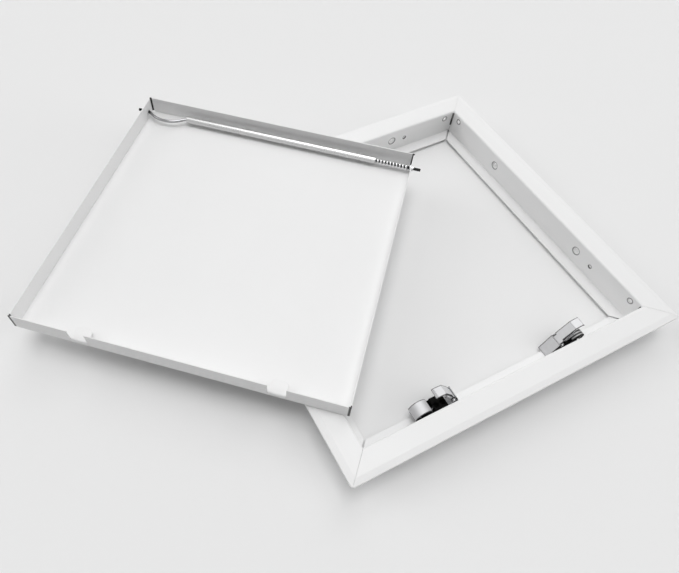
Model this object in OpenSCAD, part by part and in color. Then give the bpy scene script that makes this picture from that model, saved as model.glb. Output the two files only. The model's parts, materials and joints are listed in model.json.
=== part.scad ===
// Ceiling access panel: a mitred flange frame, a tray door with a sprung hinge rod, and two push latches.
// Millimetres, +Z up. Origin at the frame's centre, in the plane of the lips' back faces.
// The door lies loose on the frame, face down and turned, as in the photograph.

/* [Frame] */
// Clear width between opposite frame walls
opening = 300; // [290:5:330]
// Frame height, from the lips' back to the flange front
frame_h = 28; // [28:0.5:30]
// Width of the flange that covers the ceiling's cut edge
flange_w = 23.5; // [22:0.5:28]
// Frame sheet thickness
frame_t = 1.2; // [1:0.1:1.3]
// Width of the inward lips
lip_w = 12; // [11:0.5:13]
// Outside radius of the frame's bends
frame_bend = 2; // [1.8:0.1:2.4]
// Width of the flange's sloped outer edge
bevel_w = 5.5; // [4:0.5:7]
// Drop of the flange's sloped outer edge
bevel_drop = 1.6; // [1.2:0.1:2]
// Depth of the hem turned down at the outer edge
hem_h = 2.6; // [2:0.2:3]
// Gap between neighbouring bars at a mitre
mitre_gap = 0.15; // [0.1:0.05:0.3]
// Width of the open slot between neighbouring lips
lip_slot = 1.4; // [1:0.1:2]
// Width of the blunt end at each outer corner
tip_blunt = 2; // [1:0.5:3]

/* [Frame holes] */
// Distance of the fixing holes from the middle of a wall
fixing_x = 67; // [60:1:75]
// Depth of the fixing holes below the flange front
fixing_drop = 13; // [12:0.5:14]
// Fixing hole radius
fixing_r = 2.2; // [2:0.1:2.5]
// Countersink radius at the wall's inner face
countersink_r = 4.2; // [3.8:0.1:4.4]
// Radius of the small chain holes
chain_r = 1.8; // [1.4:0.1:2]
// Chain hole on the right wall, from the wall's middle
chain_right_x = -88; // [-95:1:-80]
// Chain hole on the far wall, from the wall's middle
chain_far_x = -84; // [-95:1:-80]
// Clearance of the hinge holes round a hinge pin
hinge_clear = 0.5; // [0.3:0.1:0.6]

/* [Corner brackets] */
// Length of each leg
bracket_leg = 18; // [14:1:24]
// Height of the legs
bracket_h = 17.5; // [15:0.5:19]
// Bracket sheet thickness
bracket_t = 1.5; // [1:0.1:2]
// Height of the legs' feet above the lips' back; below it they carry the lying frame
bracket_z = -2.5; // [-3:0.5:-1.5]

/* [Door] */
// Gap between the closed door and each frame wall
door_gap = 1.5; // [1:0.1:2]
// Depth of the tray
door_h = 18; // [17:0.5:20]
// Door sheet thickness
door_t = 1; // [0.8:0.1:1.2]
// Outside radius of the door's bends
door_bend = 2; // [1.6:0.1:2.4]
// Slit between neighbouring door walls
corner_slit = 0.8; // [0.5:0.1:1.2]
// Distance of the strike tabs from the middle of the near wall
tab_x = 87.3; // [80:1:95]
// Width of the notch over each tab
notch_w = 16.2; // [15:0.2:18]
// Height of the tabs above the door's face
tab_z = 6; // [5:0.5:7]
// Length of the tabs
tab_l = 13; // [11:0.5:15]
// Side gap between a tab and its notch
tab_side = 0.6; // [0.4:0.1:1]
// Corner radius at the end of the tabs
tab_round = 4; // [2:0.5:6]
// Gap between the lying door and the flange
rest_gap = 0.3; // [0.2:0.1:0.6]
// Middle of the lying door, across the frame
door_x = -155.1; // [-157:0.1:-153]
// Middle of the lying door, towards the far bar
door_y = 86.8; // [85:0.1:89]
// Turn of the lying door
door_yaw = -42.9; // [-43.5:0.1:-42.3]

/* [Hinge rod] */
// Wire radius
wire_r = 1.5; // [1.3:0.1:1.6]
// Height of the rod's axis above the door's face
rod_up = 7; // [6.5:0.1:7.5]
// Distance of the rod's axis from the far wall's outside
rod_back = 10; // [9.5:0.1:10.5]
// Length of the left pin outside the door's wall
pin_left = 10.5; // [10:0.5:12]
// Length of the right pin outside the door's wall
pin_right = 9.5; // [9:0.5:11]
// Sideways reach of the finger loop
loop_reach = 9; // [8:0.5:10]
// Length of the finger loop
loop_l = 42; // [38:1:44]
// Start of the finger loop, from the left wall's inside
loop_in = 1; // [0.8:0.1:1.5]
// Sleeve radius
sleeve_r = 3.5; // [3.2:0.1:3.8]
// Room between the sleeve and the right wall for the spring
spring_room = 38; // [36:1:40]
// Radial clearance of what sits on the wire
fit = 0.05; // [0.03:0.01:0.08]
// Spring wire radius
coil_wire_r = 0.55; // [0.4:0.05:0.6]
// Spring coil pitch
coil_pitch = 3.4; // [3:0.1:4]
// Mean coil radius
coil_r = 2.7; // [2.6:0.05:2.9]
// Washer radius
washer_r = 3.9; // [3.6:0.1:4.2]
// Washer thickness
washer_t = 1; // [0.8:0.1:1.2]
// Collar radius
collar_r = 2.6; // [2.4:0.1:3]
// Collar thickness
collar_t = 1.8; // [1.5:0.1:2]
// End gap of the washer, spring and collar
end_gap = 0.05; // [0.03:0.01:0.1]

/* [Latches] */
// Middle of the left latch, from the frame's middle
latch_left_x = 71.5; // [70:0.5:73]
// Middle of the right latch, from the frame's middle
latch_right_x = 77; // [76:0.5:78]
// Distance of the latches' middle line from the near wall
latch_in = 10; // [9.8:0.1:10.5]
// Width of the latch over its cheeks and dome
latch_w = 12; // [11.6:0.2:12.4]
// Cheek thickness
cheek_t = 1.3; // [1.1:0.1:1.4]
// Height of the core above the lip
core_h = 10.8; // [10.4:0.1:11]
// Height of the low cheeks beside the trigger
cheek_low_h = 7.8; // [7.4:0.1:8]
// Latch bracket sheet thickness
base_t = 1; // [0.9:0.1:1.1]
// Thickness of the latch body's floor
floor_t = 1.8; // [1.6:0.1:2]
// Arm pivot, from the latch's middle
arm_x = -14.5; // [-14.8:0.1:-14.2]
// Arm pivot height
arm_z = 17; // [16.6:0.1:17.4]
// Arm length, pivot to bend
arm_l = 19.1; // [18.7:0.2:19.7]
// Angle of the open arm above level
arm_open = 53; // [51:1:54]
// Bend between the arm and its jaw plate
jaw_bend = 45.5; // [44:0.5:47]
// Length of the jaw plate
jaw_l = 8.2; // [7.6:0.2:8.6]
// Length of the jaw's turned-down lip
jaw_lip = 1.6; // [1:0.2:2]
// Width of the arm
arm_w = 9; // [8.8:0.1:9.2]
// Shift of the arm towards the opening
arm_shift = 1.5; // [1.4:0.1:1.6]
// Claw sheet thickness
claw_t = 1; // [0.9:0.1:1.1]
// Trigger pivot of the left latch, from the latch's middle
trigger_left_x = 16.5; // [16:0.1:17]
// Trigger pivot of the shorter right latch, from the latch's middle
trigger_right_x = 7.5; // [7.5:0.1:8.5]
// Trigger pivot height
trigger_z = 5.6; // [5.5:0.1:5.8]
// Mean radius of the trigger's dome
dome_r = 7.9; // [7.8:0.1:8.1]
// Middle of the dome, inwards of the trigger pivot
dome_in = 2.5; // [2.4:0.1:2.6]
// Middle of the dome, above the trigger pivot
dome_up = 6.2; // [6.1:0.1:6.3]
// Angle of the dome's low end below level
dome_tilt = 33; // [32:0.5:34]
// Knuckle radius round a latch pin
knuckle_r = 2.2; // [2.1:0.1:2.2]
// Latch pin radius
pin_r = 1; // [0.9:0.05:1.05]
// Side gap of a knuckle
claw_gap = 0.3; // [0.25:0.05:0.4]
// Distance of the end plate's foot from the arm pivot
end_foot = 9.7; // [9.7:0.1:10]
// Arm spring coil radius
arm_coil_r = 1.2; // [1.1:0.1:1.3]
// Arm spring wire radius
arm_coil_wire_r = 0.4; // [0.3:0.05:0.4]
// Arm spring coil pitch
arm_coil_pitch = 1.35; // [1.2:0.05:1.5]
// Rivet shank radius
rivet_r = 1.5; // [1.3:0.1:1.6]
// Rivet nearer the arm, from the latch's middle
rivet_in_x = -7.5; // [-7.6:0.1:-7.3]
// Rivet nearer the trigger, from the latch's middle
rivet_out_x = -0.7; // [-0.9:0.1:-0.6]

/* [Hidden] */
$fn = 48;
eps = 0.01;
half = opening / 2;
outer = half + flange_w;
mitre_reach = outer + 5;
tip_reach = outer * sqrt(2) - tip_blunt / 2;

door_half = half - door_gap;
door_z = frame_h + rest_gap;
wall_in = door_half - door_t;
rod_v = door_half - rod_back;
hinge_x = half - door_gap - rod_back;
hinge_z = frame_h - rod_up;
hinge_r = wire_r + hinge_clear;
notch_round = 1.6;
flat = door_half - door_bend;
bend_strip = 2;

loop_u0 = -wall_in + loop_in;
loop_u1 = loop_u0 + loop_l;
// The finger loop is a bow: its radius and half its angle follow from its length and reach.
loop_r = (loop_l * loop_l / 4 + loop_reach * loop_reach) / (2 * loop_reach);
loop_a = asin(loop_l / 2 / loop_r);
sleeve_u0 = loop_u1 + 2;
sleeve_u1 = wall_in - spring_room;
washer_u1 = wall_in - end_gap;
washer_u0 = washer_u1 - washer_t;
coil_u0 = sleeve_u1 + end_gap;
coil_u1 = washer_u0 - end_gap;

latch_y = -half + latch_in;
base_z = frame_t;
body_z = base_z + base_t;
floor_z = body_z + floor_t;
core_z = base_z + core_h;
cheek_low_z = base_z + cheek_low_h;
cheek_y = latch_w / 2 - cheek_t;
trigger_knuckle_w = 2 * (cheek_y - claw_gap);
arm_knuckle_w = latch_w - 2 * base_t - 2 * claw_gap;
core_x0 = arm_x + 4;
core_x1 = 2;
trigger_ear_r = knuckle_r + 0.4;
rivet_row = [rivet_in_x, rivet_out_x];
end_plate_top = [arm_x - 2.8, arm_z + 1.3];
ear_drop = [2.5, 5];
claw_mid = knuckle_r - claw_t / 2;
arm_root = knuckle_r + 1.2;
pin_hole_r = pin_r + fit;
pin_head_r = pin_r + 0.7;
pin_head_t = 0.6;
rivet_y = -1.5;
rivet_head_r = 2.5;
rivet_head_t = 0.8;
rivet_head_gap = 0.3;
arm_coil_a0 = arm_root + 0.8;
arm_coil_a1 = arm_l - 2.5;
arm_coil_side = -3.6;

white = [0.93, 0.93, 0.93];
zinc = [0.78, 0.79, 0.8];
black = [0.05, 0.05, 0.05];

// Shared shapes

// Takes the sharp corner at (0, 0) off an outline that lies above it and to its left.
module round_cut(r) {
    difference() {
        translate([-r, -1]) square(r + 1);
        translate([-r, r]) circle(r);
    }
}

// Sheet of even thickness along a line of points, with round bends.
module bent_strip(points, t) {
    for (i = [0 : len(points) - 2]) {
        run = points[i + 1] - points[i];
        translate(points[i]) rotate(atan2(run[1], run[0])) translate([0, -t / 2]) square([norm(run), t]);
    }
    for (p = points) translate(p) circle(t / 2);
}

// Extrudes an outline drawn in x and z across y, centred on y = 0.
module across(w) {
    rotate([90, 0, 0]) linear_extrude(w, center = true) children();
}

// Coil along +Z: rings on a thin core.
module ring_coil(length, r, wire, pitch) {
    count = floor((length - 2 * wire) / pitch);
    step = (length - 2 * wire) / count;
    for (i = [0 : count]) translate([0, 0, wire + i * step])
        rotate_extrude() translate([r, 0]) circle(wire, $fn = 16);
    difference() {
        cylinder(length, r + wire / 3, r + wire / 3);
        translate([0, 0, -eps]) cylinder(length + 2 * eps, r - wire / 3, r - wire / 3);
    }
}

// Frame

// Section of a bar: lip, wall, flange, sloped edge and hem, measured outwards from the frame's middle.
module bar_profile() {
    under = frame_h - frame_t;
    edge_z = frame_h - bevel_drop;
    hem_in = flange_w - frame_t;
    translate([half, 0]) difference() {
        polygon([[-lip_w, 0], [frame_t, 0], [frame_t, under], [flange_w - bevel_w, under],
            [hem_in, edge_z - frame_t], [hem_in, edge_z - hem_h], [flange_w, edge_z - hem_h],
            [flange_w, edge_z], [flange_w - bevel_w, frame_h], [0, frame_h], [0, frame_t],
            [-lip_w, frame_t]]);
        translate([frame_t, 0]) round_cut(frame_bend);
        translate([0, frame_h]) rotate(180) round_cut(frame_bend);
    }
}

// Space of one bar between its two mitre planes.
module mitre_wedge() {
    translate([0, -mitre_gap / sqrt(2), -1]) linear_extrude(frame_h + 2)
        polygon([[0, 0], [-mitre_reach, -mitre_reach], [mitre_reach, -mitre_reach]]);
}

// A hole through the near wall at x along the wall and z above the lip's back.
module wall_hole(x, z, r) {
    translate([x, -half + 1, z]) rotate([90, 0, 0]) cylinder(frame_t + 2, r, r);
}

module countersunk_hole(x, z) {
    wall_hole(x, z, fixing_r);
    translate([x, -half + eps, z]) rotate([90, 0, 0]) cylinder(frame_t, countersink_r, fixing_r);
}

// One bar, drawn as the near one; chain is the place of its chain hole, or 0 for none.
module frame_bar(chain = 0, riveted = false) {
    color(white) difference() {
        intersection() {
            rotate([90, 0, -90]) linear_extrude(2 * outer, center = true) bar_profile();
            mitre_wedge();
            rotate([0, 0, 45]) cube([2 * tip_reach, 2 * tip_reach, 3 * frame_h], center = true);
        }
        for (s = [-1, 1]) {
            wall_hole(s * hinge_x, hinge_z, hinge_r);
            countersunk_hole(s * fixing_x, frame_h - fixing_drop);
            translate([s * half, -half, -1]) rotate([0, 0, 90 + s * 45])
                translate([0, -lip_slot / 2, 0]) cube([2 * lip_w, lip_slot, frame_t + 1 + eps]);
        }
        if (chain != 0) wall_hole(chain, frame_h - fixing_drop - 1, chain_r);
        if (riveted) for (x = rivet_places()) translate([x, latch_y + rivet_y, 0]) rivet_seat();
    }
}

function rivet_places() = [for (x = rivet_row) each [-latch_left_x - x, latch_right_x + x]];

module frame_near() frame_bar(riveted = true);
module frame_right() rotate([0, 0, 90]) frame_bar(chain_right_x);
module frame_far() rotate([0, 0, 180]) frame_bar(chain_far_x);
module frame_left() rotate([0, 0, -90]) frame_bar();

// Angle brackets welded behind the walls at the four corners.
module corner_brackets() {
    back = half + frame_t;
    color(zinc) for (turn = [0 : 90 : 270]) rotate([0, 0, turn]) translate([back, back, bracket_z])
        linear_extrude(bracket_h) difference() {
            translate([-bracket_leg, -bracket_leg]) square(bracket_leg + bracket_t);
            translate([-bracket_leg - 1, -bracket_leg - 1]) square(bracket_leg + 1);
        }
}

// Door

// Places what is drawn in the door's own frame: u along the rod, v to the far wall, z up from its face.
module on_door() {
    translate([door_x, door_y, door_z]) rotate([0, 0, door_yaw]) children();
}

// One wall with its bend along the floor, drawn as the near one.
module door_wall(length) {
    bend_l = 2 * (door_half - door_bend) - 2 * corner_slit;
    rotate([90, 0, -90]) {
        linear_extrude(length, center = true) translate([wall_in, door_bend])
            square([door_t, door_h - door_bend]);
        linear_extrude(bend_l, center = true) difference() {
            polygon([[flat - bend_strip, 0], [door_half, 0], [door_half, door_bend + bend_strip],
                [wall_in, door_bend + bend_strip], [wall_in, door_t], [flat - bend_strip, door_t]]);
            translate([door_half, 0]) round_cut(door_bend);
        }
    }
}

// Strike tab, bent inwards at the bottom of its notch, with round corners at its end.
module strike_tab() {
    w = notch_w - 2 * tab_side;
    intersection() {
        rotate([90, 0, -90]) linear_extrude(w, center = true) difference() {
            polygon([[wall_in, door_bend], [door_half, door_bend], [door_half, tab_z],
                [door_half - tab_l, tab_z], [door_half - tab_l, tab_z - door_t], [wall_in, tab_z - door_t]]);
            translate([door_half, tab_z]) rotate(90) round_cut(notch_round);
        }
        translate([0, -door_half + tab_l, 0]) linear_extrude(door_h) difference() {
            translate([-w / 2, -tab_l - 1]) square([w, tab_l + 1]);
            translate([w / 2, 0]) rotate(90) round_cut(tab_round);
            translate([-w / 2, 0]) rotate(180) round_cut(tab_round);
        }
    }
}

// Opening in the near wall above a tab, from the wall's cut edge to its rim.
module notch_cut() {
    translate([-notch_w / 2, -door_half - 1, tab_z - notch_round - door_t])
        cube([notch_w, door_t + 2, door_h]);
}

module door_tray() {
    side_l = 2 * (wall_in - corner_slit);
    color(white) on_door() difference() {
        union() {
            translate([-flat, -flat, 0]) cube([2 * flat, 2 * flat, door_t]);
            difference() {
                door_wall(2 * door_half);
                for (s = [-1, 1]) translate([s * tab_x, 0, 0]) notch_cut();
            }
            for (s = [-1, 1]) translate([s * tab_x, 0, 0]) strike_tab();
            rotate([0, 0, 180]) door_wall(2 * door_half);
            for (s = [-1, 1]) rotate([0, 0, s * 90]) door_wall(side_l);
        }
        translate([-door_half - 1, rod_v, rod_up]) rotate([0, 90, 0])
            cylinder(2 * door_half + 2, wire_r + fit, wire_r + fit);
    }
}

// Hinge rod

module on_rod() {
    on_door() translate([0, rod_v, rod_up]) children();
}

module rod_tube(u0, u1, r) {
    translate([u0, 0, 0]) rotate([0, 90, 0]) difference() {
        cylinder(u1 - u0, r, r);
        translate([0, 0, -eps]) cylinder(u1 - u0 + 2 * eps, wire_r + fit, wire_r + fit);
    }
}

module rod_wire(u0, u1) {
    translate([u0, 0, 0]) rotate([0, 90, 0]) cylinder(u1 - u0, wire_r, wire_r);
}

// Wire with a pin at each end and the finger loop beside the left wall.
module hinge_wire() {
    elbow = wire_r * tan(loop_a / 2);
    color(zinc) on_rod() {
        rod_wire(-door_half - pin_left, loop_u0 + elbow);
        translate([(loop_u0 + loop_u1) / 2, loop_r - loop_reach, 0]) rotate([0, 0, -90 - loop_a])
            rotate_extrude(angle = 2 * loop_a) translate([loop_r, 0]) circle(wire_r);
        rod_wire(loop_u1 - elbow, door_half + pin_right);
    }
}

module hinge_sleeve() color(zinc) on_rod() rod_tube(sleeve_u0, sleeve_u1, sleeve_r);

module hinge_spring() {
    color(zinc) on_rod() translate([coil_u0, 0, 0]) rotate([0, 90, 0])
        ring_coil(coil_u1 - coil_u0, coil_r, coil_wire_r, coil_pitch);
}

module hinge_washer() color(zinc) on_rod() rod_tube(washer_u0, washer_u1, washer_r);

module hinge_collar() {
    u0 = door_half + end_gap;
    color(zinc) on_rod() rod_tube(u0, u0 + collar_t, collar_r);
}

// Latches, drawn with the arm on the low-x side; the left latch is the mirror image.

module right_latch() translate([latch_right_x, latch_y, 0]) children();
module left_latch() mirror([1, 0, 0]) translate([latch_left_x, latch_y, 0]) children();

module pin_hole(x, z) {
    translate([x, 0, z]) rotate([90, 0, 0]) cylinder(2 * latch_w, pin_hole_r, pin_hole_r, center = true);
}

// Hole for one rivet through the lip, bracket and body, countersunk under the lip.
module rivet_seat() {
    translate([0, 0, -eps]) cylinder(frame_t, rivet_head_r + fit, rivet_r + fit);
    cylinder(floor_z + 1, rivet_r + fit, rivet_r + fit);
}

module rivet_seats() {
    for (x = rivet_row) translate([x, rivet_y, 0]) rivet_seat();
}

// Bright base plate, the slanted end plate that stands on it, and the two ears that hold the arm's pin.
module latch_bracket(trigger_x) {
    foot = [arm_x - end_foot, base_z + base_t / 2];
    color(zinc) difference() {
        union() {
            translate([foot[0], -latch_w / 2, base_z]) cube([trigger_x - foot[0], latch_w, base_t]);
            across(latch_w) bent_strip([foot, end_plate_top], base_t);
            for (s = [-1, 1]) translate([0, s * (latch_w - base_t) / 2, 0]) across(base_t)
                bent_strip([[arm_x, arm_z], [arm_x, arm_z] - ear_drop], 2 * knuckle_r);
        }
        pin_hole(arm_x, arm_z);
        rivet_seats();
    }
}

module cheek_outline(trigger_x) {
    translate([core_x0, body_z]) square([core_x1 - core_x0, core_z - body_z]);
    translate([core_x0, body_z]) square([trigger_x - core_x0, cheek_low_z - body_z]);
    translate([trigger_x, trigger_z]) circle(trigger_ear_r);
}

// Black body: two cheeks, a floor and the core that the claws close over.
module latch_body(trigger_x) {
    inside = 2 * (cheek_y + eps);
    floor_x1 = trigger_x - knuckle_r - 1;
    color(black) difference() {
        union() {
            for (s = [-1, 1]) translate([0, s * (latch_w - cheek_t) / 2, 0])
                across(cheek_t) cheek_outline(trigger_x);
            translate([core_x0, -inside / 2, body_z]) {
                cube([core_x1 - core_x0, inside, core_z - body_z]);
                cube([floor_x1 - core_x0, inside, floor_t]);
            }
        }
        pin_hole(trigger_x, trigger_z);
        rivet_seats();
        for (x = rivet_row) translate([x, rivet_y, floor_z])
            cylinder(core_h, rivet_head_r + rivet_head_gap, rivet_head_r + rivet_head_gap);
    }
}

// Outline of the arm along its own length: plate, jaw plate and lip.
module arm_outline() {
    bend = [arm_l, claw_mid];
    jaw = bend + jaw_l * [cos(jaw_bend), -sin(jaw_bend)];
    lip = jaw + jaw_lip * [cos(jaw_bend + 60), -sin(jaw_bend + 60)];
    bent_strip([[arm_root, claw_mid], bend, jaw, lip], claw_t);
}

module on_arm() {
    translate([arm_x, 0, arm_z]) rotate([0, -arm_open, 0]) children();
}

// Arm: a knuckle between the ears, its root plate, and the wider plate beyond the ears.
module latch_arm() {
    color(zinc) on_arm() difference() {
        union() {
            translate([0, arm_shift, 0]) across(arm_w) arm_outline();
            across(arm_knuckle_w) {
                circle(knuckle_r);
                translate([0, claw_mid - claw_t / 2]) square([arm_root + claw_t, claw_t]);
            }
        }
        pin_hole(0, 0);
    }
}

// Half a ring that stands on its low end.
module dome_outline() {
    rotate(-dome_tilt) difference() {
        circle(dome_r + claw_t / 2);
        circle(dome_r - claw_t / 2);
        translate([-2 * dome_r, -2 * dome_r]) square([4 * dome_r, 2 * dome_r]);
    }
}

// Trigger: the dome over the cheeks and a knuckle between them.
module latch_trigger(trigger_x) {
    foot = [dome_r * cos(dome_tilt) - dome_in, dome_up - dome_r * sin(dome_tilt)];
    color(zinc) translate([trigger_x, 0, trigger_z]) difference() {
        union() {
            across(latch_w) translate([-dome_in, dome_up]) dome_outline();
            across(trigger_knuckle_w) {
                circle(knuckle_r);
                bent_strip([[0, 0], foot], 2 * claw_t);
            }
        }
        pin_hole(0, 0);
    }
}

module latch_pin(x, z) {
    reach = latch_w / 2;
    translate([x, 0, z]) rotate([90, 0, 0]) {
        translate([0, 0, -reach - pin_head_t]) cylinder(2 * reach + pin_head_t, pin_r, pin_r);
        translate([0, 0, reach]) cylinder(pin_head_t, pin_head_r, pin_head_r);
    }
}

module latch_pins(trigger_x) {
    color(zinc) {
        latch_pin(arm_x, arm_z);
        latch_pin(trigger_x, trigger_z);
    }
}

// Coil spring under the arm's plate.
module latch_spring() {
    drop = claw_mid - claw_t / 2 - arm_coil_r - arm_coil_wire_r - 0.1;
    color(zinc) on_arm() translate([arm_coil_a0, arm_coil_side, drop]) rotate([0, 90, 0])
        ring_coil(arm_coil_a1 - arm_coil_a0, arm_coil_r, arm_coil_wire_r, arm_coil_pitch);
}

module latch_left_bracket() left_latch() latch_bracket(trigger_left_x);
module latch_left_body() left_latch() latch_body(trigger_left_x);
module latch_left_arm() left_latch() latch_arm();
module latch_left_trigger() left_latch() latch_trigger(trigger_left_x);
module latch_left_pins() left_latch() latch_pins(trigger_left_x);
module latch_left_spring() left_latch() latch_spring();
module latch_right_bracket() right_latch() latch_bracket(trigger_right_x);
module latch_right_body() right_latch() latch_body(trigger_right_x);
module latch_right_arm() right_latch() latch_arm();
module latch_right_trigger() right_latch() latch_trigger(trigger_right_x);
module latch_right_pins() right_latch() latch_pins(trigger_right_x);
module latch_right_spring() right_latch() latch_spring();

// Flush rivets through the near lip, two for each latch.
module latch_rivets() {
    color(zinc) for (x = rivet_places()) translate([x, latch_y + rivet_y, 0]) {
        cylinder(frame_t, rivet_head_r, rivet_r);
        cylinder(floor_z + rivet_head_t, rivet_r, rivet_r);
        translate([0, 0, floor_z + fit]) cylinder(rivet_head_t, rivet_head_r, rivet_head_r);
    }
}

frame_near();
frame_right();
frame_far();
frame_left();
corner_brackets();
door_tray();
hinge_wire();
hinge_sleeve();
hinge_spring();
hinge_washer();
hinge_collar();
latch_left_bracket();
latch_left_body();
latch_left_arm();
latch_left_trigger();
latch_left_pins();
latch_left_spring();
latch_right_bracket();
latch_right_body();
latch_right_arm();
latch_right_trigger();
latch_right_pins();
latch_right_spring();
latch_rivets();
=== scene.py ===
"""Looks of the ceiling access panel: finishes, coil springs, hinge wire, studio and camera.

Everything is in metres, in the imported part's own frame: the frame's middle is at x = y = 0, the near bar
with the latches is at low y, and z = 0 is the underside of the frame's lips. The frame lies on the feet of
its corner brackets, so the floor is a little lower.
"""

import json
import logging
import math
from dataclasses import dataclass, replace
from enum import Enum
from typing import Iterable, Sequence, TypeVar, Union

import bmesh
import bpy
from mathutils import Matrix, Vector

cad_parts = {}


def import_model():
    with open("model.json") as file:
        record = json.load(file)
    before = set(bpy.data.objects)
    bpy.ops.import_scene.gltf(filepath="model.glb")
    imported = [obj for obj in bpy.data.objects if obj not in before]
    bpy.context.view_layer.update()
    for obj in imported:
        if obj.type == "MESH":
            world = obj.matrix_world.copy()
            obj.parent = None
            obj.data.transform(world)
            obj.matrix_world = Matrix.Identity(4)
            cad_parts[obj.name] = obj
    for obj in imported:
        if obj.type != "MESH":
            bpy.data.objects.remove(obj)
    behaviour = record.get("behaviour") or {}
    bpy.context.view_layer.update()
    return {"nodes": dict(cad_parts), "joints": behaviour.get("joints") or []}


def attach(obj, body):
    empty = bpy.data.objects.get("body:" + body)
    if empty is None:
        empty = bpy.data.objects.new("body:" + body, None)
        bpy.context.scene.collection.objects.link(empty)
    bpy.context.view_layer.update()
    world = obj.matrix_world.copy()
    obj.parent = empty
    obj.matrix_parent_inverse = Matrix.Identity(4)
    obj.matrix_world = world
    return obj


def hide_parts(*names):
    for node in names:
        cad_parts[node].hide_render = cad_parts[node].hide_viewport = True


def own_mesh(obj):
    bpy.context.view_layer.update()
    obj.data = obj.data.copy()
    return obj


MM = 0.001
QUARTER_TURN = math.radians(90.0)
BEVEL_SAMPLES = 8
CLOUD_DETAIL = 3.0
RELIEF_DETAIL = 2.0
LINE_SHARPNESS = 3.0
COIL_STEPS_PER_TURN = 28
COIL_SEGMENTS = 12
ROD_SEGMENTS = 20
log = logging.getLogger("access_panel")

Number = Union[int, float]
Operand = Union["Sock", Number]
Colour = tuple[float, float, float]
Kind = TypeVar("Kind", bound="Finish")


class Side(Enum):
    """The two latches of the near bar, by the sign of their x."""

    LEFT = -1
    RIGHT = 1


class Grain(Enum):
    """Direction in which a metal's fine scratches run, as stretch factors along x, y and z."""

    NONE = (1.0, 1.0, 1.0)
    ACROSS = (1.0, 0.06, 1.0)


def grey(level: float) -> Colour:
    """Gives a neutral grey, from 0 for black to 1 for white."""
    return (level, level, level)


class Shader:
    """One material's node tree, with a short way to add nodes and wire them."""

    def __init__(self, tree: bpy.types.NodeTree) -> None:
        """Empties the node tree of a material or of the world and keeps it."""
        self.tree = tree
        tree.nodes.clear()

    def node(self, kind: str, inputs: dict[str, object] | None = None, **settings: object) -> bpy.types.Node:
        """Adds a node.

        Args:
            kind: Blender's node type name.
            inputs: values or sockets for its inputs, by socket name.
            settings: attributes of the node itself.

        Returns:
            The new node.
        """
        made = self.tree.nodes.new(kind)
        for name, value in settings.items():
            setattr(made, name, value)
        for name, value in (inputs or {}).items():
            self.feed(made.inputs[name], value)
        return made

    def feed(self, target: bpy.types.NodeSocket, value: object) -> None:
        """Wires a socket wrapper into an input, or sets the input's own value.

        Args:
            target: input socket.
            value: a Sock to link, or a constant.
        """
        if isinstance(value, Sock):
            self.tree.links.new(value.socket, target)
        else:
            target.default_value = value

    def sock(
        self, kind: str, output: str, inputs: dict[str, object] | None = None, **settings: object
    ) -> "Sock":
        """Adds a node as the node method does, and wraps its output of the given name."""
        return Sock(self, self.node(kind, inputs, **settings).outputs[output])

    def eased_normal(self, radius: float) -> "Sock":
        """Gives the surface's normal as if its edges were rounded by a radius."""
        return self.sock("ShaderNodeBevel", "Normal", {"Radius": radius}, samples=BEVEL_SAMPLES)

    def split(self, vector: "Sock") -> tuple["Sock", "Sock", "Sock"]:
        """Takes a vector apart into its x, y and z."""
        axes = self.node("ShaderNodeSeparateXYZ", {"Vector": vector}).outputs
        return Sock(self, axes["X"]), Sock(self, axes["Y"]), Sock(self, axes["Z"])


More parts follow.
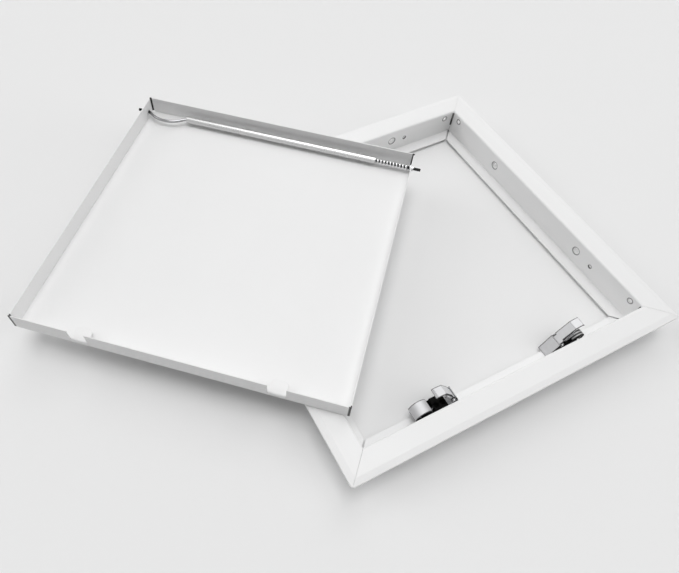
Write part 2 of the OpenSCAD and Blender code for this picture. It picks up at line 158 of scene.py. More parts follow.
@dataclass(frozen=True)
class Sock:
    """An output socket that takes part in sums and products as a number does."""

    shader: Shader
    socket: bpy.types.NodeSocket

    def _math(self, operation: str, first: Operand, second: Operand) -> "Sock":
        """Adds a math node.

        Args:
            operation: Blender's math operation name.
            first: left operand.
            second: right operand.

        Returns:
            The result.
        """
        made = self.shader.node("ShaderNodeMath", operation=operation)
        self.shader.feed(made.inputs[0], first)
        self.shader.feed(made.inputs[1], second)
        return Sock(self.shader, made.outputs[0])

    def __add__(self, other: Operand) -> "Sock":
        """Returns self + other."""
        return self._math("ADD", self, other)

    def __radd__(self, other: Operand) -> "Sock":
        """Returns other + self."""
        return self._math("ADD", other, self)

    def __sub__(self, other: Operand) -> "Sock":
        """Returns self - other."""
        return self._math("SUBTRACT", self, other)

    def __rsub__(self, other: Operand) -> "Sock":
        """Returns other - self."""
        return self._math("SUBTRACT", other, self)

    def __mul__(self, other: Operand) -> "Sock":
        """Returns self * other."""
        return self._math("MULTIPLY", self, other)

    def __rmul__(self, other: Operand) -> "Sock":
        """Returns other * self."""
        return self._math("MULTIPLY", other, self)

    def __truediv__(self, other: Operand) -> "Sock":
        """Returns self / other."""
        return self._math("DIVIDE", self, other)

    def __rtruediv__(self, other: Operand) -> "Sock":
        """Returns other / self."""
        return self._math("DIVIDE", other, self)

    def __gt__(self, other: Operand) -> "Sock":
        """Returns 1 where self is greater than other, else 0."""
        return self._math("GREATER_THAN", self, other)

    def __lt__(self, other: Operand) -> "Sock":
        """Returns 1 where self is less than other, else 0."""
        return self._math("LESS_THAN", self, other)

    def __abs__(self) -> "Sock":
        """Returns self without its sign."""
        return self._math("ABSOLUTE", self, 0.0)

    def least(self, other: Operand) -> "Sock":
        """Picks the smaller of two values."""
        return self._math("MINIMUM", self, other)

    def most(self, other: Operand) -> "Sock":
        """Picks the greater of two values."""
        return self._math("MAXIMUM", self, other)

    def clamped(self) -> "Sock":
        """Keeps the value between 0 and 1."""
        return self.most(0.0).least(1.0)

    def reach(self, other: "Sock") -> "Sock":
        """Gives the distance from zero when this value and the other are square to each other."""
        return self._math("SQRT", self * self + other * other, 0.0)

    def line(self, half_width: float) -> "Sock":
        """Marks a line from the distance to its middle: 1 on the line, 0 past its half width."""
        return ((1.0 - self / half_width) * LINE_SHARPNESS).clamped()

    def wave(self, period: float) -> "Sock":
        """Makes even stripes, as a wave from 0 to 1 with a period in this value's unit."""
        return self._math("SINE", self * (math.tau / period), 0.0) * 0.5 + 0.5

    def mix(self, low: Union["Sock", Colour], high: Union["Sock", Colour]) -> "Sock":
        """Blends two colours by this value.

        Args:
            low: colour at 0.
            high: colour at 1.

        Returns:
            The blended colour.
        """
        made = self.shader.node("ShaderNodeMix", data_type="RGBA")
        self.shader.feed(made.inputs["Factor"], self)
        for target, colour in zip([s for s in made.inputs if s.type == "RGBA"], (low, high)):
            self.shader.feed(target, colour if isinstance(colour, Sock) else (*colour, 1.0))
        return Sock(self.shader, next(s for s in made.outputs if s.type == "RGBA"))


@dataclass(frozen=True)
class Finish:
    """A surface: its colours, gloss and relief.

    Attributes:
        name: the material's name.
        low: colour at the clouds' lowest.
        high: colour at the clouds' highest.
        metallic: the shader's metallic value.
        roughness: the shader's mean roughness.
        roughness_spread: how much the clouds and the relief change the roughness.
        coat: weight of the clear coat.
        specular: the shader's specular level.
        cloud_scale: how fine the clouds are.
        cloud_share: the clouds' share in the colour, the rest being the relief's.
        relief_scale: how fine the relief is.
        relief_depth: height of the relief.
        relief_strength: how much of the relief shows.
        edge_radius: radius by which edges look rounded, or 0.
        dark_edge: width of the dark edges, or 0.
        edge_gain: how quickly the dark edges reach their full colour.
        edge_colour: colour of the dark edges.
        grain: direction of the fine scratches.
    """

    name: str
    low: Colour
    high: Colour
    metallic: float = 0.0
    roughness: float = 0.4
    roughness_spread: float = 0.06
    coat: float = 0.0
    specular: float = 0.5
    cloud_scale: float = 18.0
    cloud_share: float = 0.6
    relief_scale: float = 900.0
    relief_depth: float = 0.02 * MM
    relief_strength: float = 0.12
    edge_radius: float = 0.0
    dark_edge: float = 0.0
    edge_gain: float = 12.0
    edge_colour: Colour = grey(0.03)
    grain: Grain = Grain.NONE

    def tint(self, shader: Shader, place: Sock, colour: Sock) -> Sock:
        """Gives the final colour, darker along the edges where the finish has dark edges.

        Args:
            shader: the material's nodes.
            place: where the surface is, in the part's frame; not used here.
            colour: the clouded colour.

        Returns:
            The colour to use.
        """
        if self.dark_edge <= 0.0:
            return colour
        turned = shader.node("ShaderNodeVectorMath", operation="DOT_PRODUCT")
        shader.feed(turned.inputs[0], shader.eased_normal(self.dark_edge))
        shader.feed(turned.inputs[1], shader.sock("ShaderNodeNewGeometry", "True Normal"))
        edge = ((1.0 - Sock(shader, turned.outputs["Value"])) * self.edge_gain).clamped()
        return edge.mix(colour, self.edge_colour)

    def make(self) -> bpy.types.Material:
        """Builds the material.

        Returns:
            A new material with soft clouds in colour and gloss, a fine relief and rounded edges.
        """
        material = bpy.data.materials.new(self.name)
        material.use_nodes = True
        shader = Shader(material.node_tree)
        place = shader.sock("ShaderNodeTexCoord", "Object")
        stretched = shader.sock("ShaderNodeMapping", "Vector", {"Vector": place, "Scale": self.grain.value})
        soft = {"Vector": place, "Scale": self.cloud_scale, "Detail": CLOUD_DETAIL}
        cloud = shader.sock("ShaderNodeTexNoise", "Fac", soft)
        grit = {"Vector": stretched, "Scale": self.relief_scale, "Detail": RELIEF_DETAIL}
        fine = shader.sock("ShaderNodeTexNoise", "Fac", grit)
        bump = {"Height": fine, "Strength": self.relief_strength, "Distance": self.relief_depth}
        if self.edge_radius > 0.0:
            bump["Normal"] = shader.eased_normal(self.edge_radius)
        clouded = (cloud * self.cloud_share + fine * (1.0 - self.cloud_share)).mix(self.low, self.high)
        rough = self.roughness + (fine - 0.5) * self.roughness_spread + (cloud - 0.5) * self.roughness_spread
        surface = shader.sock(
            "ShaderNodeBsdfPrincipled",
            "BSDF",
            {
                "Base Color": self.tint(shader, place, clouded),
                "Metallic": self.metallic,
                "Roughness": rough,
                "Coat Weight": self.coat,
                "Specular IOR Level": self.specular,
                "Normal": shader.sock("ShaderNodeBump", "Normal", bump),
            },
        )
        shader.node("ShaderNodeOutputMaterial", {"Surface": surface})
        return material


@dataclass(frozen=True)
class Hole:
    """A punched hole in a wall, for its colours.

    Attributes:
        along: place along the wall, measured from its middle.
        height: height above the underside of the lips.
        radius: radius of the rim's middle line.
    """

    along: float
    height: float
    radius: float

    def away(self, along: Sock, height: Sock) -> Sock:
        """Measures how far a place on the wall is from the hole's middle."""
        return (along - self.along).reach(height - self.height)

    def disc(self, along: Sock, height: Sock) -> Sock:
        """Marks the hole's middle: 1 within the rim, else 0."""
        return self.away(along, height) < self.radius

    def ring(self, along: Sock, height: Sock, width: float) -> Sock:
        """Marks the hole's rim: 1 on it, falling to 0 within the rim's width."""
        return (1.0 - abs(self.away(along, height) - self.radius) / width).most(0.0)


@dataclass(frozen=True)
class PunchedCoat(Finish):
    """The frame's coat: white, with painted shade on the rims about the walls' holes and in slits in their
    corners, and painted light in the larger holes' middles.

    Attributes:
        rim: colour of the painted shade on the holes' rims and in the slits.
        rim_width: distance from a rim's middle line at which its colour ends.
        hole_light: colour of the painted light in the larger holes' middles.
        fixing: screw hole, on both halves of every wall.
        hinge: hinge hole, on both halves of every wall.
        chain_right: small hole of the right wall.
        chain_far: small hole of the far wall.
        chain_wall: distance from the frame's middle past which these two walls begin.
        wall: distance from the frame's middle to the walls' inner faces.
        slit: half width of the slits' painted shade.
        slit_low: height at which the slits begin.
        slit_high: height at which the slits end.
    """

    rim: Colour = grey(0.03)
    rim_width: float = 0.85 * MM
    hole_light: Colour = grey(0.96)
    fixing: Hole = Hole(67.0 * MM, 15.0 * MM, 4.1 * MM)
    hinge: Hole = Hole(138.5 * MM, 21.0 * MM, 2.8 * MM)
    chain_right: Hole = Hole(-88.0 * MM, 14.0 * MM, 1.9 * MM)
    chain_far: Hole = Hole(84.0 * MM, 14.0 * MM, 1.9 * MM)
    chain_wall: float = 140.0 * MM
    wall: float = 150.0 * MM
    slit: float = 1.7 * MM
    slit_low: float = 9.0 * MM
    slit_high: float = 25.5 * MM

    def tint(self, shader: Shader, place: Sock, colour: Sock) -> Sock:
        """Paints shade on the rims of the punched holes and in the corner slits, and paints light in the
        holes' middles.

        Args:
            shader: the material's nodes.
            place: where the surface is, in the part's frame.
            colour: the clouded colour.

        Returns:
            The colour to use.
        """
        x, y, z = shader.split(place)
        along = abs(x).least(abs(y))
        # Painted light in the larger holes' middles; painted shade on all holes' rims and in the corner
        # slits.
        middles = self.fixing.disc(along, z).most(self.hinge.disc(along, z))
        dark = self.fixing.ring(along, z, self.rim_width).most(self.hinge.ring(along, z, self.rim_width))
        for hole, along_wall, outwards in ((self.chain_right, y, x), (self.chain_far, x, y)):
            dark = dark.most(hole.ring(along_wall, z, self.rim_width) * (outwards > self.chain_wall))
        upright = (z > self.slit_low) - (z > self.slit_high)
        corner = (abs(x) - self.wall).reach(abs(y) - self.wall)
        return dark.most(corner.line(self.slit) * upright).mix(middles.mix(colour, self.hole_light), self.rim)


@dataclass(frozen=True)
class DoorFinish(Finish):
    """A finish laid out in the door's own directions, wherever the door lies.

    Attributes:
        middle: x and y of the door's middle.
        along: x and y of the hinge rod's direction.
    """

    middle: tuple[float, float] = (0.0, 0.0)
    along: tuple[float, float] = (1.0, 0.0)

    def door_axes(self, shader: Shader, place: Sock) -> tuple[Sock, Sock]:
        """Measures distances from the door's middle lines.

        Args:
            shader: the material's nodes.
            place: where the surface is, in the part's frame.

        Returns:
            Distance from the middle along the hinge rod, and square to it.
        """
        world_x, world_y, _ = shader.split(place)
        x, y = world_x - self.middle[0], world_y - self.middle[1]
        return abs(x * self.along[0] + y * self.along[1]), abs(y * self.along[0] - x * self.along[1])


@dataclass(frozen=True)
class TipShadedSteel(DoorFinish):
    """The hinge wire's steel, with painted shade at both ends.

    Attributes:
        tip_shade: colour of the painted shade at the ends.
        tip_start: distance from the door's middle at which the wire begins to darken.
        tip_fade: length over which it darkens.
    """

    tip_shade: Colour = grey(0.015)
    tip_start: float = 141.5 * MM
    tip_fade: float = 5.0 * MM

    def tint(self, shader: Shader, place: Sock, colour: Sock) -> Sock:
        """Paints shade on the wire's ends.

        Args:
            shader: the material's nodes.
            place: where the surface is, in the part's frame.
            colour: the clouded colour.

        Returns:
            The colour to use.
        """
        along_rod, _ = self.door_axes(shader, place)
        # Painted shade: the wire darkens past tip_start towards both ends.
        return ((along_rod - self.tip_start) / self.tip_fade).clamped().mix(colour, self.tip_shade)


@dataclass(frozen=True)
class SlitCoat(DoorFinish):
    """The door's coat: white, with painted shade in the slits at the four corners.

    Attributes:
        slit_shade: colour of the painted shade in the slits.
        inner_half: distance from the door's middle to its walls' inner faces.
        slit: half width of the slits' painted shade.
    """

    slit_shade: Colour = grey(0.02)
    inner_half: float = 147.5 * MM
    slit: float = 1.7 * MM

    def tint(self, shader: Shader, place: Sock, colour: Sock) -> Sock:
        """Paints shade in the corner slits.

        Args:
            shader: the material's nodes.
            place: where the surface is, in the part's frame.
            colour: the clouded colour.

        Returns:
            The colour to use.
        """
        along_rod, across = self.door_axes(shader, place)
        corner = (along_rod - self.inner_half).reach(across - self.inner_half)
        # Painted shade: a dark line along the corner slits, where the gaps lie in shade.
        return corner.line(self.slit).mix(colour, self.slit_shade)


@dataclass(frozen=True)
class SideShadedPlate(Finish):
    """Metal plate with painted shade on its sides, the faces square to the latches' pivots.

    Attributes:
        side: colour of the painted shade on the sides.
        side_start: how much a face looks along the pivot, from 0 to 1, before it darkens.
        side_gain: how quickly it then darkens.
        stripe: distance from one pale stripe to the next, or 0 for none.
        stripe_colour: colour of the stripes.
    """

    side: Colour = grey(0.06)
    side_start: float = 0.7
    side_gain: float = 8.0
    stripe: float = 0.0
    stripe_colour: Colour = grey(0.5)

    def tint(self, shader: Shader, place: Sock, colour: Sock) -> Sock:
        """Paints shade on the sides and lays pale stripes round the plate where it has them.

        Args:
            shader: the material's nodes.
            place: where the surface is, in the part's frame.
            colour: the clouded colour.

        Returns:
            The colour to use.
        """
        if self.stripe > 0.0:
            _, across, _ = shader.split(place)
            crest = across.wave(self.stripe)
            colour = (crest * crest).mix(colour, self.stripe_colour)
        # Painted shade: faces that look along the pivot are darkened.
        _, facing, _ = shader.split(shader.sock("ShaderNodeTexCoord", "Normal"))
        side_shaded = ((abs(facing) - self.side_start) * self.side_gain).clamped()
        return side_shaded.mix(super().tint(shader, place, colour), self.side)


def white_coat(kind: type[Kind], name: str) -> Kind:
    """Gives the white powder coat of frame and door as a finish of the given kind."""
    return kind(name, grey(0.84), grey(0.88), roughness=0.45, coat=0.04, edge_radius=0.6 * MM)


def drawn_wire(kind: type[Kind], name: str) -> Kind:
    """Gives the drawn steel of the hinge wire and the arm springs as a finish of the given kind."""
    return kind(
        name, (0.3, 0.3, 0.31), (0.44, 0.44, 0.45), metallic=1.0, roughness=0.17, roughness_spread=0.08,
        cloud_scale=160.0, relief_scale=1200.0, relief_strength=0.15,
    )


FRAME_COAT = white_coat(PunchedCoat, "frame_coat")
DOOR_COAT = white_coat(SlitCoat, "door_coat")
WIRE_STEEL = drawn_wire(TipShadedSteel, "wire_steel")
COIL_STEEL = drawn_wire(Finish, "coil_steel")
BRIGHT_PLATE = SideShadedPlate(
    "bright_plate", (0.54, 0.54, 0.55), (0.74, 0.74, 0.75), metallic=0.8, roughness=0.68,
    roughness_spread=0.14, cloud_scale=220.0, relief_scale=1500.0, relief_strength=0.25,
    edge_radius=0.2 * MM, grain=Grain.ACROSS, dark_edge=1.5 * MM,
)
# Painted shade: a dark copy of the bright plate, for the right trigger, which lies in shade under its arm.
SHADED_TRIGGER_PLATE = replace(
    BRIGHT_PLATE, name="dark_plate", low=grey(0.02), high=grey(0.1), roughness=0.6, cloud_scale=500.0,
    stripe=2.6 * MM,
)
ZINC_STEEL = Finish(
    "zinc_steel", (0.56, 0.57, 0.58), (0.7, 0.7, 0.71), metallic=1.0, roughness=0.2, roughness_spread=0.1,
    cloud_scale=160.0, relief_scale=1100.0, relief_strength=0.2, edge_radius=0.2 * MM,
)
BRIGHT_TUBE = Finish(
    "bright_tube", grey(0.58), grey(0.68), metallic=1.0, roughness=0.28, roughness_spread=0.08,
    cloud_scale=120.0, relief_scale=1400.0, relief_strength=0.15,
)
SPRING_STEEL = Finish(
    "spring_steel", grey(0.8), grey(0.95), metallic=1.0, roughness=0.26, roughness_spread=0.08,
    cloud_scale=300.0, relief_scale=1600.0, relief_strength=0.1,
)
BLACK_PLASTIC = Finish(
    "black_plastic", grey(0.004), grey(0.01), roughness=0.6, specular=0.04, cloud_scale=90.0,
    relief_scale=1800.0, edge_radius=0.3 * MM,
)
FLOOR_PAPER = Finish(
    "floor_paper", grey(0.84), grey(0.855), roughness=0.9, cloud_scale=3.0, relief_scale=300.0,
    relief_depth=0.05 * MM,
)


class Dresser:
    """Makes each finish once and gives it to CAD nodes and new pieces."""

    def __init__(self, nodes: dict[str, bpy.types.Object]) -> None:
        """Keeps the CAD objects by node name, with no finish made yet."""
        self.nodes = nodes
        self.made: dict[str, bpy.types.Material] = {}

    def paint(self, piece: bpy.types.Object, finish: Finish) -> None:
        """Gives a piece one finish all over.

        Args:
            piece: mesh object.
            finish: what it is coated with.
        """
        if finish.name not in self.made:
            self.made[finish.name] = finish.make()
        piece.data.materials.clear()
        piece.data.materials.append(self.made[finish.name])

    def paint_nodes(self, names: Iterable[str], finish: Finish) -> None:
        """Gives CAD nodes one finish.

        Args:
            names: CAD node names.
            finish: what they are coated with.
        """
        for name in names:
            self.paint(self.nodes[name], finish)
            log.info("dressed %s in %s", name, finish.name)


def add_object(name: str, data: bpy.types.ID) -> bpy.types.Object:
    """Adds an object to the scene.

    Args:
        name: object name.
        data: its mesh, light or camera.

    Returns:
        The new object, at the origin.
    """
    made = bpy.data.objects.new(name, data)
    bpy.context.scene.collection.objects.link(made)
    return made


def add_mesh(name: str, mesh: bmesh.types.BMesh) -> bpy.types.Object:
    """Turns a bmesh into an object of the scene.

    Args:
        name: object name.
        mesh: finished bmesh; it is freed.

    Returns:
        The new object, at the origin.
    """
    data = bpy.data.meshes.new(name)
    mesh.to_mesh(data)
    mesh.free()
    return add_object(name, data)


def add_piece(name: str, mesh: bmesh.types.BMesh, place: Matrix, body: str) -> bpy.types.Object:
    """Turns a bmesh into a smooth-shaded piece that rides on a CAD body.

    Args:
        name: object name.
        mesh: finished bmesh; it is freed.
        place: matrix from the bmesh's own frame to the part's frame.
        body: CAD body that carries the piece.

    Returns:
        The new object, at the origin.
    """
    bmesh.ops.transform(mesh, matrix=place, verts=mesh.verts)
    bmesh.ops.recalc_face_normals(mesh, faces=mesh.faces)
    for face in mesh.faces:
        face.smooth = True
    piece = add_mesh(name, mesh)
    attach(piece, body)
    log.info("built %s on %s", name, body)
    return piece


def coil(length: float, radius: float, wire: float, turns: float) -> bmesh.types.BMesh:
    """Winds a round wire about +Z from z = 0 to z = length, its wire's outside included.

    Args:
        length: length over the wire, metres.
        radius: mean coil radius, metres.
        wire: wire radius, metres.
        turns: number of turns.

    Returns:
        The coil as a closed bmesh.
    """
    steps = round(turns * COIL_STEPS_PER_TURN)
    mesh = bmesh.new()
    seat = Matrix.Translation((radius, 0.0, wire)) @ Matrix.Rotation(QUARTER_TURN, 4, "X")
    ring = bmesh.ops.create_circle(mesh, cap_ends=True, radius=wire, segments=COIL_SEGMENTS, matrix=seat)
    start = [*ring["verts"], *mesh.edges, *mesh.faces]
    bmesh.ops.spin(
        mesh, geom=start, cent=(0.0, 0.0, 0.0), axis=(0.0, 0.0, 1.0), angle=turns * math.tau, steps=steps,
        dvec=(0.0, 0.0, (length - 2.0 * wire) / steps), use_merge=False, use_duplicate=False,
    )
    return mesh


def rod(points: Sequence[Vector], radius: float) -> bmesh.types.BMesh:
    """Sweeps a round section along a line of points that lie in the plane z = 0.

    Args:
        points: the centre line.
        radius: wire radius, metres.

    Returns:
        The rod as a closed bmesh.
    """
    mesh = bmesh.new()
    rings = []
    for i, point in enumerate(points):
        run = (points[min(i + 1, len(points) - 1)] - points[max(i - 1, 0)]).normalized()
        seat = Matrix.Translation(point) @ run.to_track_quat("Z", "Y").to_matrix().to_4x4()
        ring = bmesh.ops.create_circle(
            mesh, cap_ends=False, radius=radius, segments=ROD_SEGMENTS, matrix=seat,
        )
        rings.append({edge for vert in ring["verts"] for edge in vert.link_edges})
    for first, second in zip(rings, rings[1:]):
        bmesh.ops.bridge_loops(mesh, edges=[*first, *second])
    bmesh.ops.holes_fill(mesh, edges=mesh.edges, sides=0)
    return mesh


def joint_named(joints: Sequence[dict], name: str) -> dict:
    """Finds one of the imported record's joints by its name."""
    return next(joint for joint in joints if joint["name"] == name)


def frame_at(origin: Sequence[float], x: Vector, z: Vector) -> Matrix:
    """Makes the matrix of a frame from its origin and two axes that are square to each other."""
    return Matrix.Translation(origin) @ Matrix((x, z.cross(x), z)).transposed().to_4x4()


@dataclass
class FrameBars:
    """The mitred frame with its corner brackets.

    Attributes:
        bars: CAD names of the four bars.
    """

    bars: tuple[str, ...] = ("frame_near", "frame_right", "frame_far", "frame_left")

    def dress(self, dresser: Dresser) -> None:
        """Coats the bars and the brackets."""
        dresser.paint_nodes(self.bars, FRAME_COAT)
        dresser.paint_nodes(["corner_brackets"], ZINC_STEEL)


@dataclass
class Door:
    """The tray door with its hinge rod, in the rod's own frame: x along the rod, y to the far wall, z up.

    Attributes:
        half: half the door's outer width.
        sheet: thickness of the tray's sheet.
        wire: radius of the hinge wire.
        wire_steps: number of stretches from the left pin's end to just past the finger loop.
        pin_left: how far the wire stands out of the left wall.
        pin_right: how far the wire stands out of the right wall.
        loop_in: gap between the left wall and the finger loop.
        loop_length: length of the loop along the rod.
        loop_reach: how far the loop stands out sideways.
        loop_ease: how far each way the loop's bends are eased.
        ease_steps: number of steps in which they are eased each way.
        spring_radius: mean radius of the hinge spring.
        spring_wire: radius of the spring's wire.
        spring_room: length between sleeve and right wall, which spring and washer share.
        spring_gap: gap at each end of the spring.
        spring_turns: number of the spring's turns.
        spring_keep: share of the spring's length that is left when the rod has slid; not used.
        washer: thickness of the washer.
    """

    half: float = 148.5 * MM
    sheet: float = 1.0 * MM
    wire: float = 1.5 * MM
    wire_steps: int = 90
    pin_left: float = 10.5 * MM
    pin_right: float = 9.5 * MM
    loop_in: float = 1.0 * MM
    loop_length: float = 42.0 * MM
    loop_reach: float = 9.0 * MM
    loop_ease: float = 3.0 * MM
    ease_steps: int = 4
    spring_radius: float = 2.5 * MM
    spring_wire: float = 0.75 * MM
    spring_room: float = 38.0 * MM
    spring_gap: float = 0.1 * MM
    spring_turns: float = 10.5
    spring_keep: float = 0.74
    washer: float = 1.0 * MM

    @property
    def loop_start(self) -> float:
        """Where the finger loop starts along the rod, just inside the left wall."""
        return -self.half + self.sheet + self.loop_in

    def rod_frame(self, joints: Sequence[dict]) -> Matrix:
        """Finds the rod's own frame from the joint on which the door swings.

        Args:
            joints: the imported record's joints.

        Returns:
            Matrix with x along the rod to the right, y to the far wall and its origin half way along the rod.
        """
        swing = joint_named(joints, "door_swing")
        along = -Vector(swing["axis"]).normalized()
        return frame_at(swing["pos_m"], along, Vector((0.0, 0.0, 1.0)))

    def bow(self, x: float) -> float:
        """Gives the finger loop's sideways offset at one place along the rod.

        Args:
            x: place along the rod, metres.

        Returns:
            Offset towards the far wall, negative within the loop, metres.
        """
        half_length = self.loop_length / 2.0
        radius = (half_length**2 + self.loop_reach**2) / (2.0 * self.loop_reach)
        off = x - self.loop_start - half_length
        if abs(off) >= half_length:
            return 0.0
        return radius - self.loop_reach - math.sqrt(radius**2 - off**2)

    def wire_line(self) -> list[Vector]:
        """Lays the wire's centre line, with the loop's two ends eased.

        Returns:
            Points along the wire in the rod's own frame.
        """
        first = -self.half - self.pin_left
        last = self.half + self.pin_right
        bent = self.loop_start + self.loop_length + 2.0 * self.loop_ease - first
        places = [first + bent * i / self.wire_steps for i in range(self.wire_steps + 1)] + [last]
        steps = range(-self.ease_steps, self.ease_steps + 1)
        shifts = [self.loop_ease * (step / self.ease_steps) for step in steps]
        return [Vector((x, sum(self.bow(x + s) for s in shifts) / len(shifts), 0.0)) for x in places]

    def lie(self, finish: DoorFinish, tray: bpy.types.Object, along: Vector) -> DoorFinish:
        """Fits a door finish to where the door lies.

        Args:
            finish: the finish, laid out about the origin.
            tray: the door's CAD object.
            along: direction of the rod.

        Returns:
            The finish, laid out about the door's middle.
        """
        corners = [tray.matrix_world @ Vector(corner) for corner in tray.bound_box]
        middle = sum(corners, Vector()) / len(corners)
        return replace(finish, middle=(middle.x, middle.y), along=(along.x, along.y))

    def bend_wire(self, rod_frame: Matrix) -> bpy.types.Object:
        """Bends the hinge wire.

        Args:
            rod_frame: the rod's own frame.

        Returns:
            The wire, which stands for the CAD wire with its sharper bends.
        """
        wire = add_piece("hinge_rod_wire", rod(self.wire_line(), self.wire), rod_frame, "hinge_rod")
        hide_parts("hinge_wire")
        return wire

    def wind_spring(self, rod_frame: Matrix) -> bpy.types.Object:
        """Winds the hinge spring.

        Args:
            rod_frame: the rod's own frame.

        Returns:
            The spring, which stands for the CAD stack of rings.
        """
        start = self.half - self.sheet - self.spring_room + self.spring_gap
        length = self.spring_room - self.washer - 2.0 * self.spring_gap
        mesh = coil(length, self.spring_radius, self.spring_wire, self.spring_turns)
        turn = Matrix.Rotation(QUARTER_TURN, 4, "Y")
        place = rod_frame @ Matrix.Translation((start, 0.0, 0.0)) @ turn
        spring = add_piece("hinge_coil", mesh, place, "rod_seat")
        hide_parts("hinge_spring")
        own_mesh(spring)
        return spring

    def dress(self, dresser: Dresser, joints: Sequence[dict]) -> None:
        """Coats the tray and the rod, bends the wire and winds the spring.

        Args:
            dresser: gives out the finishes.
            joints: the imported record's joints.
        """
        rod_frame = self.rod_frame(joints)
        along = rod_frame.to_3x3() @ Vector((1.0, 0.0, 0.0))
        tray = dresser.nodes["door_tray"]
        dresser.paint_nodes(["door_tray"], self.lie(DOOR_COAT, tray, along))
        dresser.paint_nodes(["hinge_sleeve"], BRIGHT_TUBE)
        dresser.paint_nodes(["hinge_washer", "hinge_collar"], ZINC_STEEL)
        wire = self.bend_wire(rod_frame)
        spring = self.wind_spring(rod_frame)
        for piece, finish in ((wire, self.lie(WIRE_STEEL, tray, along)), (spring, SPRING_STEEL)):
            dresser.paint(piece, finish)


@dataclass
class Latch:
    """One push latch of the near bar, with its arm spring wound as a coil.

    Attributes:
        side: which of the two latches it is.
        arm_open_degrees: angle of the open arm above the lip.
        coil_start: distance along the arm from its pivot to the spring.
        coil_length: length of the spring.
        coil_radius: mean radius of the spring.
        coil_wire: radius of the spring's wire.
        coil_turns: number of the spring's turns.
        coil_drop: how far the spring's axis lies below the pivot's line along the arm.
        coil_side: how far the spring lies to one side of the arm's middle.
    """

    side: Side
    arm_open_degrees: float = 53.0
    coil_start: float = 4.2 * MM
    coil_length: float = 12.4 * MM
    coil_radius: float = 1.2 * MM
    coil_wire: float = 0.4 * MM
    coil_turns: float = 9.0
    coil_drop: float = 0.5 * MM
    coil_side: float = 3.6 * MM

    def part(self, name: str) -> str:
        """Gives the CAD name of one of this latch's pieces."""
        return f"latch_{self.side.name.lower()}_{name}"

    def arm_frame(self, joints: Sequence[dict]) -> Matrix:
        """Finds the arm's own frame from the joint on which it closes.

        Args:
            joints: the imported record's joints.

        Returns:
            Matrix with z along the arm, x out of its upper face, origin at the pivot.
        """
        pivot = joint_named(joints, self.part("arm_close"))
        angle = math.radians(self.arm_open_degrees)
        along = Vector((self.side.value * math.cos(angle), 0.0, math.sin(angle)))
        out = Vector((-self.side.value * math.sin(angle), 0.0, math.cos(angle)))
        return frame_at(pivot["pos_m"], out, along)

    def dress(self, dresser: Dresser, joints: Sequence[dict]) -> None:
        """Coats the latch's pieces and winds its spring.

        Args:
            dresser: gives out the finishes.
            joints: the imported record's joints.
        """
        dresser.paint_nodes([self.part("bracket"), self.part("arm")], BRIGHT_PLATE)
        # The right trigger gets the dark copy of the plate as painted shade.
        trigger_finish = SHADED_TRIGGER_PLATE if self.side is Side.RIGHT else BRIGHT_PLATE
        dresser.paint_nodes([self.part("trigger")], trigger_finish)
        dresser.paint_nodes([self.part("pins")], ZINC_STEEL)
        dresser.paint_nodes([self.part("body")], BLACK_PLASTIC)
        mesh = coil(self.coil_length, self.coil_radius, self.coil_wire, self.coil_turns)
        near = self.side.value * self.coil_side
        place = self.arm_frame(joints) @ Matrix.Translation((-self.coil_drop, near, self.coil_start))
        spring = add_piece(self.part("coil"), mesh, place, self.part("arm"))
        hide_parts(self.part("spring"))
        dresser.paint(spring, COIL_STEEL)


@dataclass(frozen=True)
class SoftLight:
    """A wide, even light from one side.

    Attributes:
        name: object name.
        energy: strength of the light.
        angle: how wide the light is, in degrees.
        source: direction towards the light.
    """

    name: str
    energy: float
    angle: float
    source: tuple[float, float, float]

    def build(self) -> None:
        """Adds the light to the scene."""
        data = bpy.data.lights.new(self.name, "SUN")
        data.energy = self.energy
        data.angle = math.radians(self.angle)
        light = add_object(self.name, data)
        light.rotation_mode = "QUATERNION"
        light.rotation_quaternion = Vector(self.source).to_track_quat("Z", "Y")


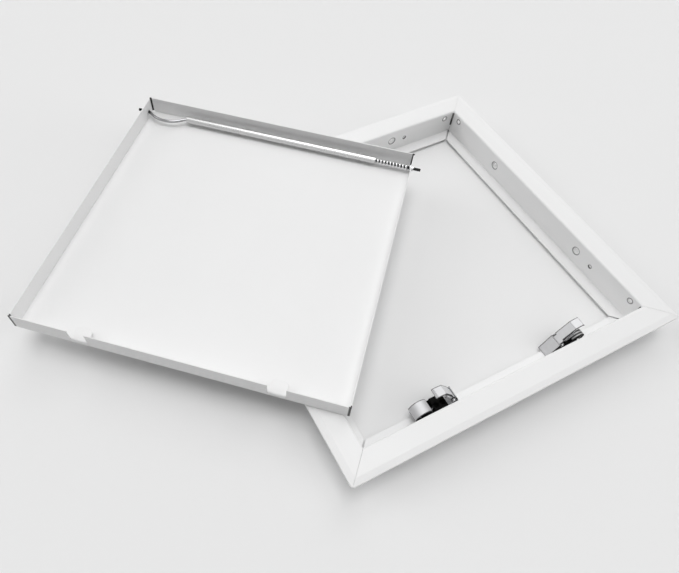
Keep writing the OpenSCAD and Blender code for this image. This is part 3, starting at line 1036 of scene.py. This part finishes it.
@dataclass
class Studio:
    """White floor and a ring of soft lights about the part, with the strongest above it.

    Attributes:
        floor_size: width of the floor.
        floor_gap: how far the floor lies below the lips.
        backdrop: level of the white that the camera sees past the floor.
        mirrored: level of the white that metal mirrors.
        lights: the soft lights.
    """

    floor_size: float = 60.0
    floor_gap: float = 2.5 * MM
    backdrop: float = 0.82
    mirrored: float = 0.5
    lights: tuple[SoftLight, ...] = (
        SoftLight("top_light", 1.2, 34.0, (0.0, 0.0, 1.0)),
        SoftLight("far_light", 0.5, 40.0, (0.45, 0.48, 1.0)),
        SoftLight("left_light", 0.58, 45.0, (-0.87, 0.81, 1.0)),
        SoftLight("right_light", 0.53, 45.0, (0.87, -0.81, 1.0)),
        SoftLight("front_light", 0.24, 45.0, (-0.81, -0.87, 1.0)),
        SoftLight("far_fill", 0.6, 60.0, (0.68, 0.73, 0.35)),
        SoftLight("left_fill", 0.62, 40.0, (-0.73, 0.68, 0.3)),
        SoftLight("right_fill", 0.6, 30.0, (0.73, -0.68, 0.14)),
    )

    def build(self, dresser: Dresser) -> None:
        """Makes the floor, the sky and the lights.

        Args:
            dresser: gives out the finishes.
        """
        mesh = bmesh.new()
        bmesh.ops.create_grid(mesh, x_segments=1, y_segments=1, size=self.floor_size / 2.0)
        floor = add_mesh("floor", mesh)
        floor.location.z = -self.floor_gap
        dresser.paint(floor, FLOOR_PAPER)
        self.add_sky()
        for light in self.lights:
            light.build()

    def add_sky(self) -> None:
        """Shows plain white to the camera and a softer white to what mirrors the room."""
        world = bpy.data.worlds.new("studio")
        bpy.context.scene.world = world
        world.use_nodes = True
        shader = Shader(world.node_tree)
        ray = shader.node("ShaderNodeLightPath").outputs
        seen = Sock(shader, ray["Is Camera Ray"]) * self.backdrop
        level = seen + Sock(shader, ray["Is Glossy Ray"]) * self.mirrored
        white = {"Color": (*grey(1.0), 1.0), "Strength": level}
        sky = shader.sock("ShaderNodeBackground", "Background", white)
        shader.node("ShaderNodeOutputWorld", {"Surface": sky})


@dataclass
class PhotoCamera:
    """The photograph's camera, worked out from the frame's and the door's edges.

    Attributes:
        place: where the camera stands.
        turn_degrees: its turn about x, y and z.
        nearest: nearest distance that it shows.
        focal_px: focal length in pixels of the photograph.
        width_px: width of the photograph.
        height_px: height of the photograph.
        centre_px: pixel that lies straight ahead of the camera.
    """

    place: tuple[float, float, float] = (-274.78 * MM, -255.57 * MM, 463.74 * MM)
    turn_degrees: tuple[float, float, float] = (31.655, -1.796, -27.355)
    nearest: float = 10.0 * MM
    focal_px: float = 575.63
    width_px: float = 679.0
    height_px: float = 573.0
    centre_px: tuple[float, float] = (301.475, 319.071)

    def build(self) -> None:
        """Makes the camera and the plain view settings."""
        data = bpy.data.cameras.new("photo_camera")
        data.sensor_fit = "HORIZONTAL"
        data.lens = data.sensor_width * self.focal_px / self.width_px
        data.shift_x = (self.width_px / 2.0 - self.centre_px[0]) / self.width_px
        data.shift_y = (self.centre_px[1] - self.height_px / 2.0) / self.width_px
        data.clip_start = self.nearest
        camera = add_object("photo_camera", data)
        camera.location = self.place
        camera.rotation_euler = [math.radians(angle) for angle in self.turn_degrees]
        bpy.context.scene.camera = camera
        bpy.context.scene.view_settings.view_transform = "Standard"


def main() -> None:
    """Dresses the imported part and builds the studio."""
    logging.basicConfig(level=logging.INFO, format="%(name)s: %(message)s")
    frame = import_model()
    dresser = Dresser(frame["nodes"])
    FrameBars().dress(dresser)
    Door().dress(dresser, frame["joints"])
    for side in Side:
        Latch(side).dress(dresser, frame["joints"])
    dresser.paint_nodes(["latch_rivets"], ZINC_STEEL)
    Studio().build(dresser)
    PhotoCamera().build()


if __name__ == "__main__":
    main()
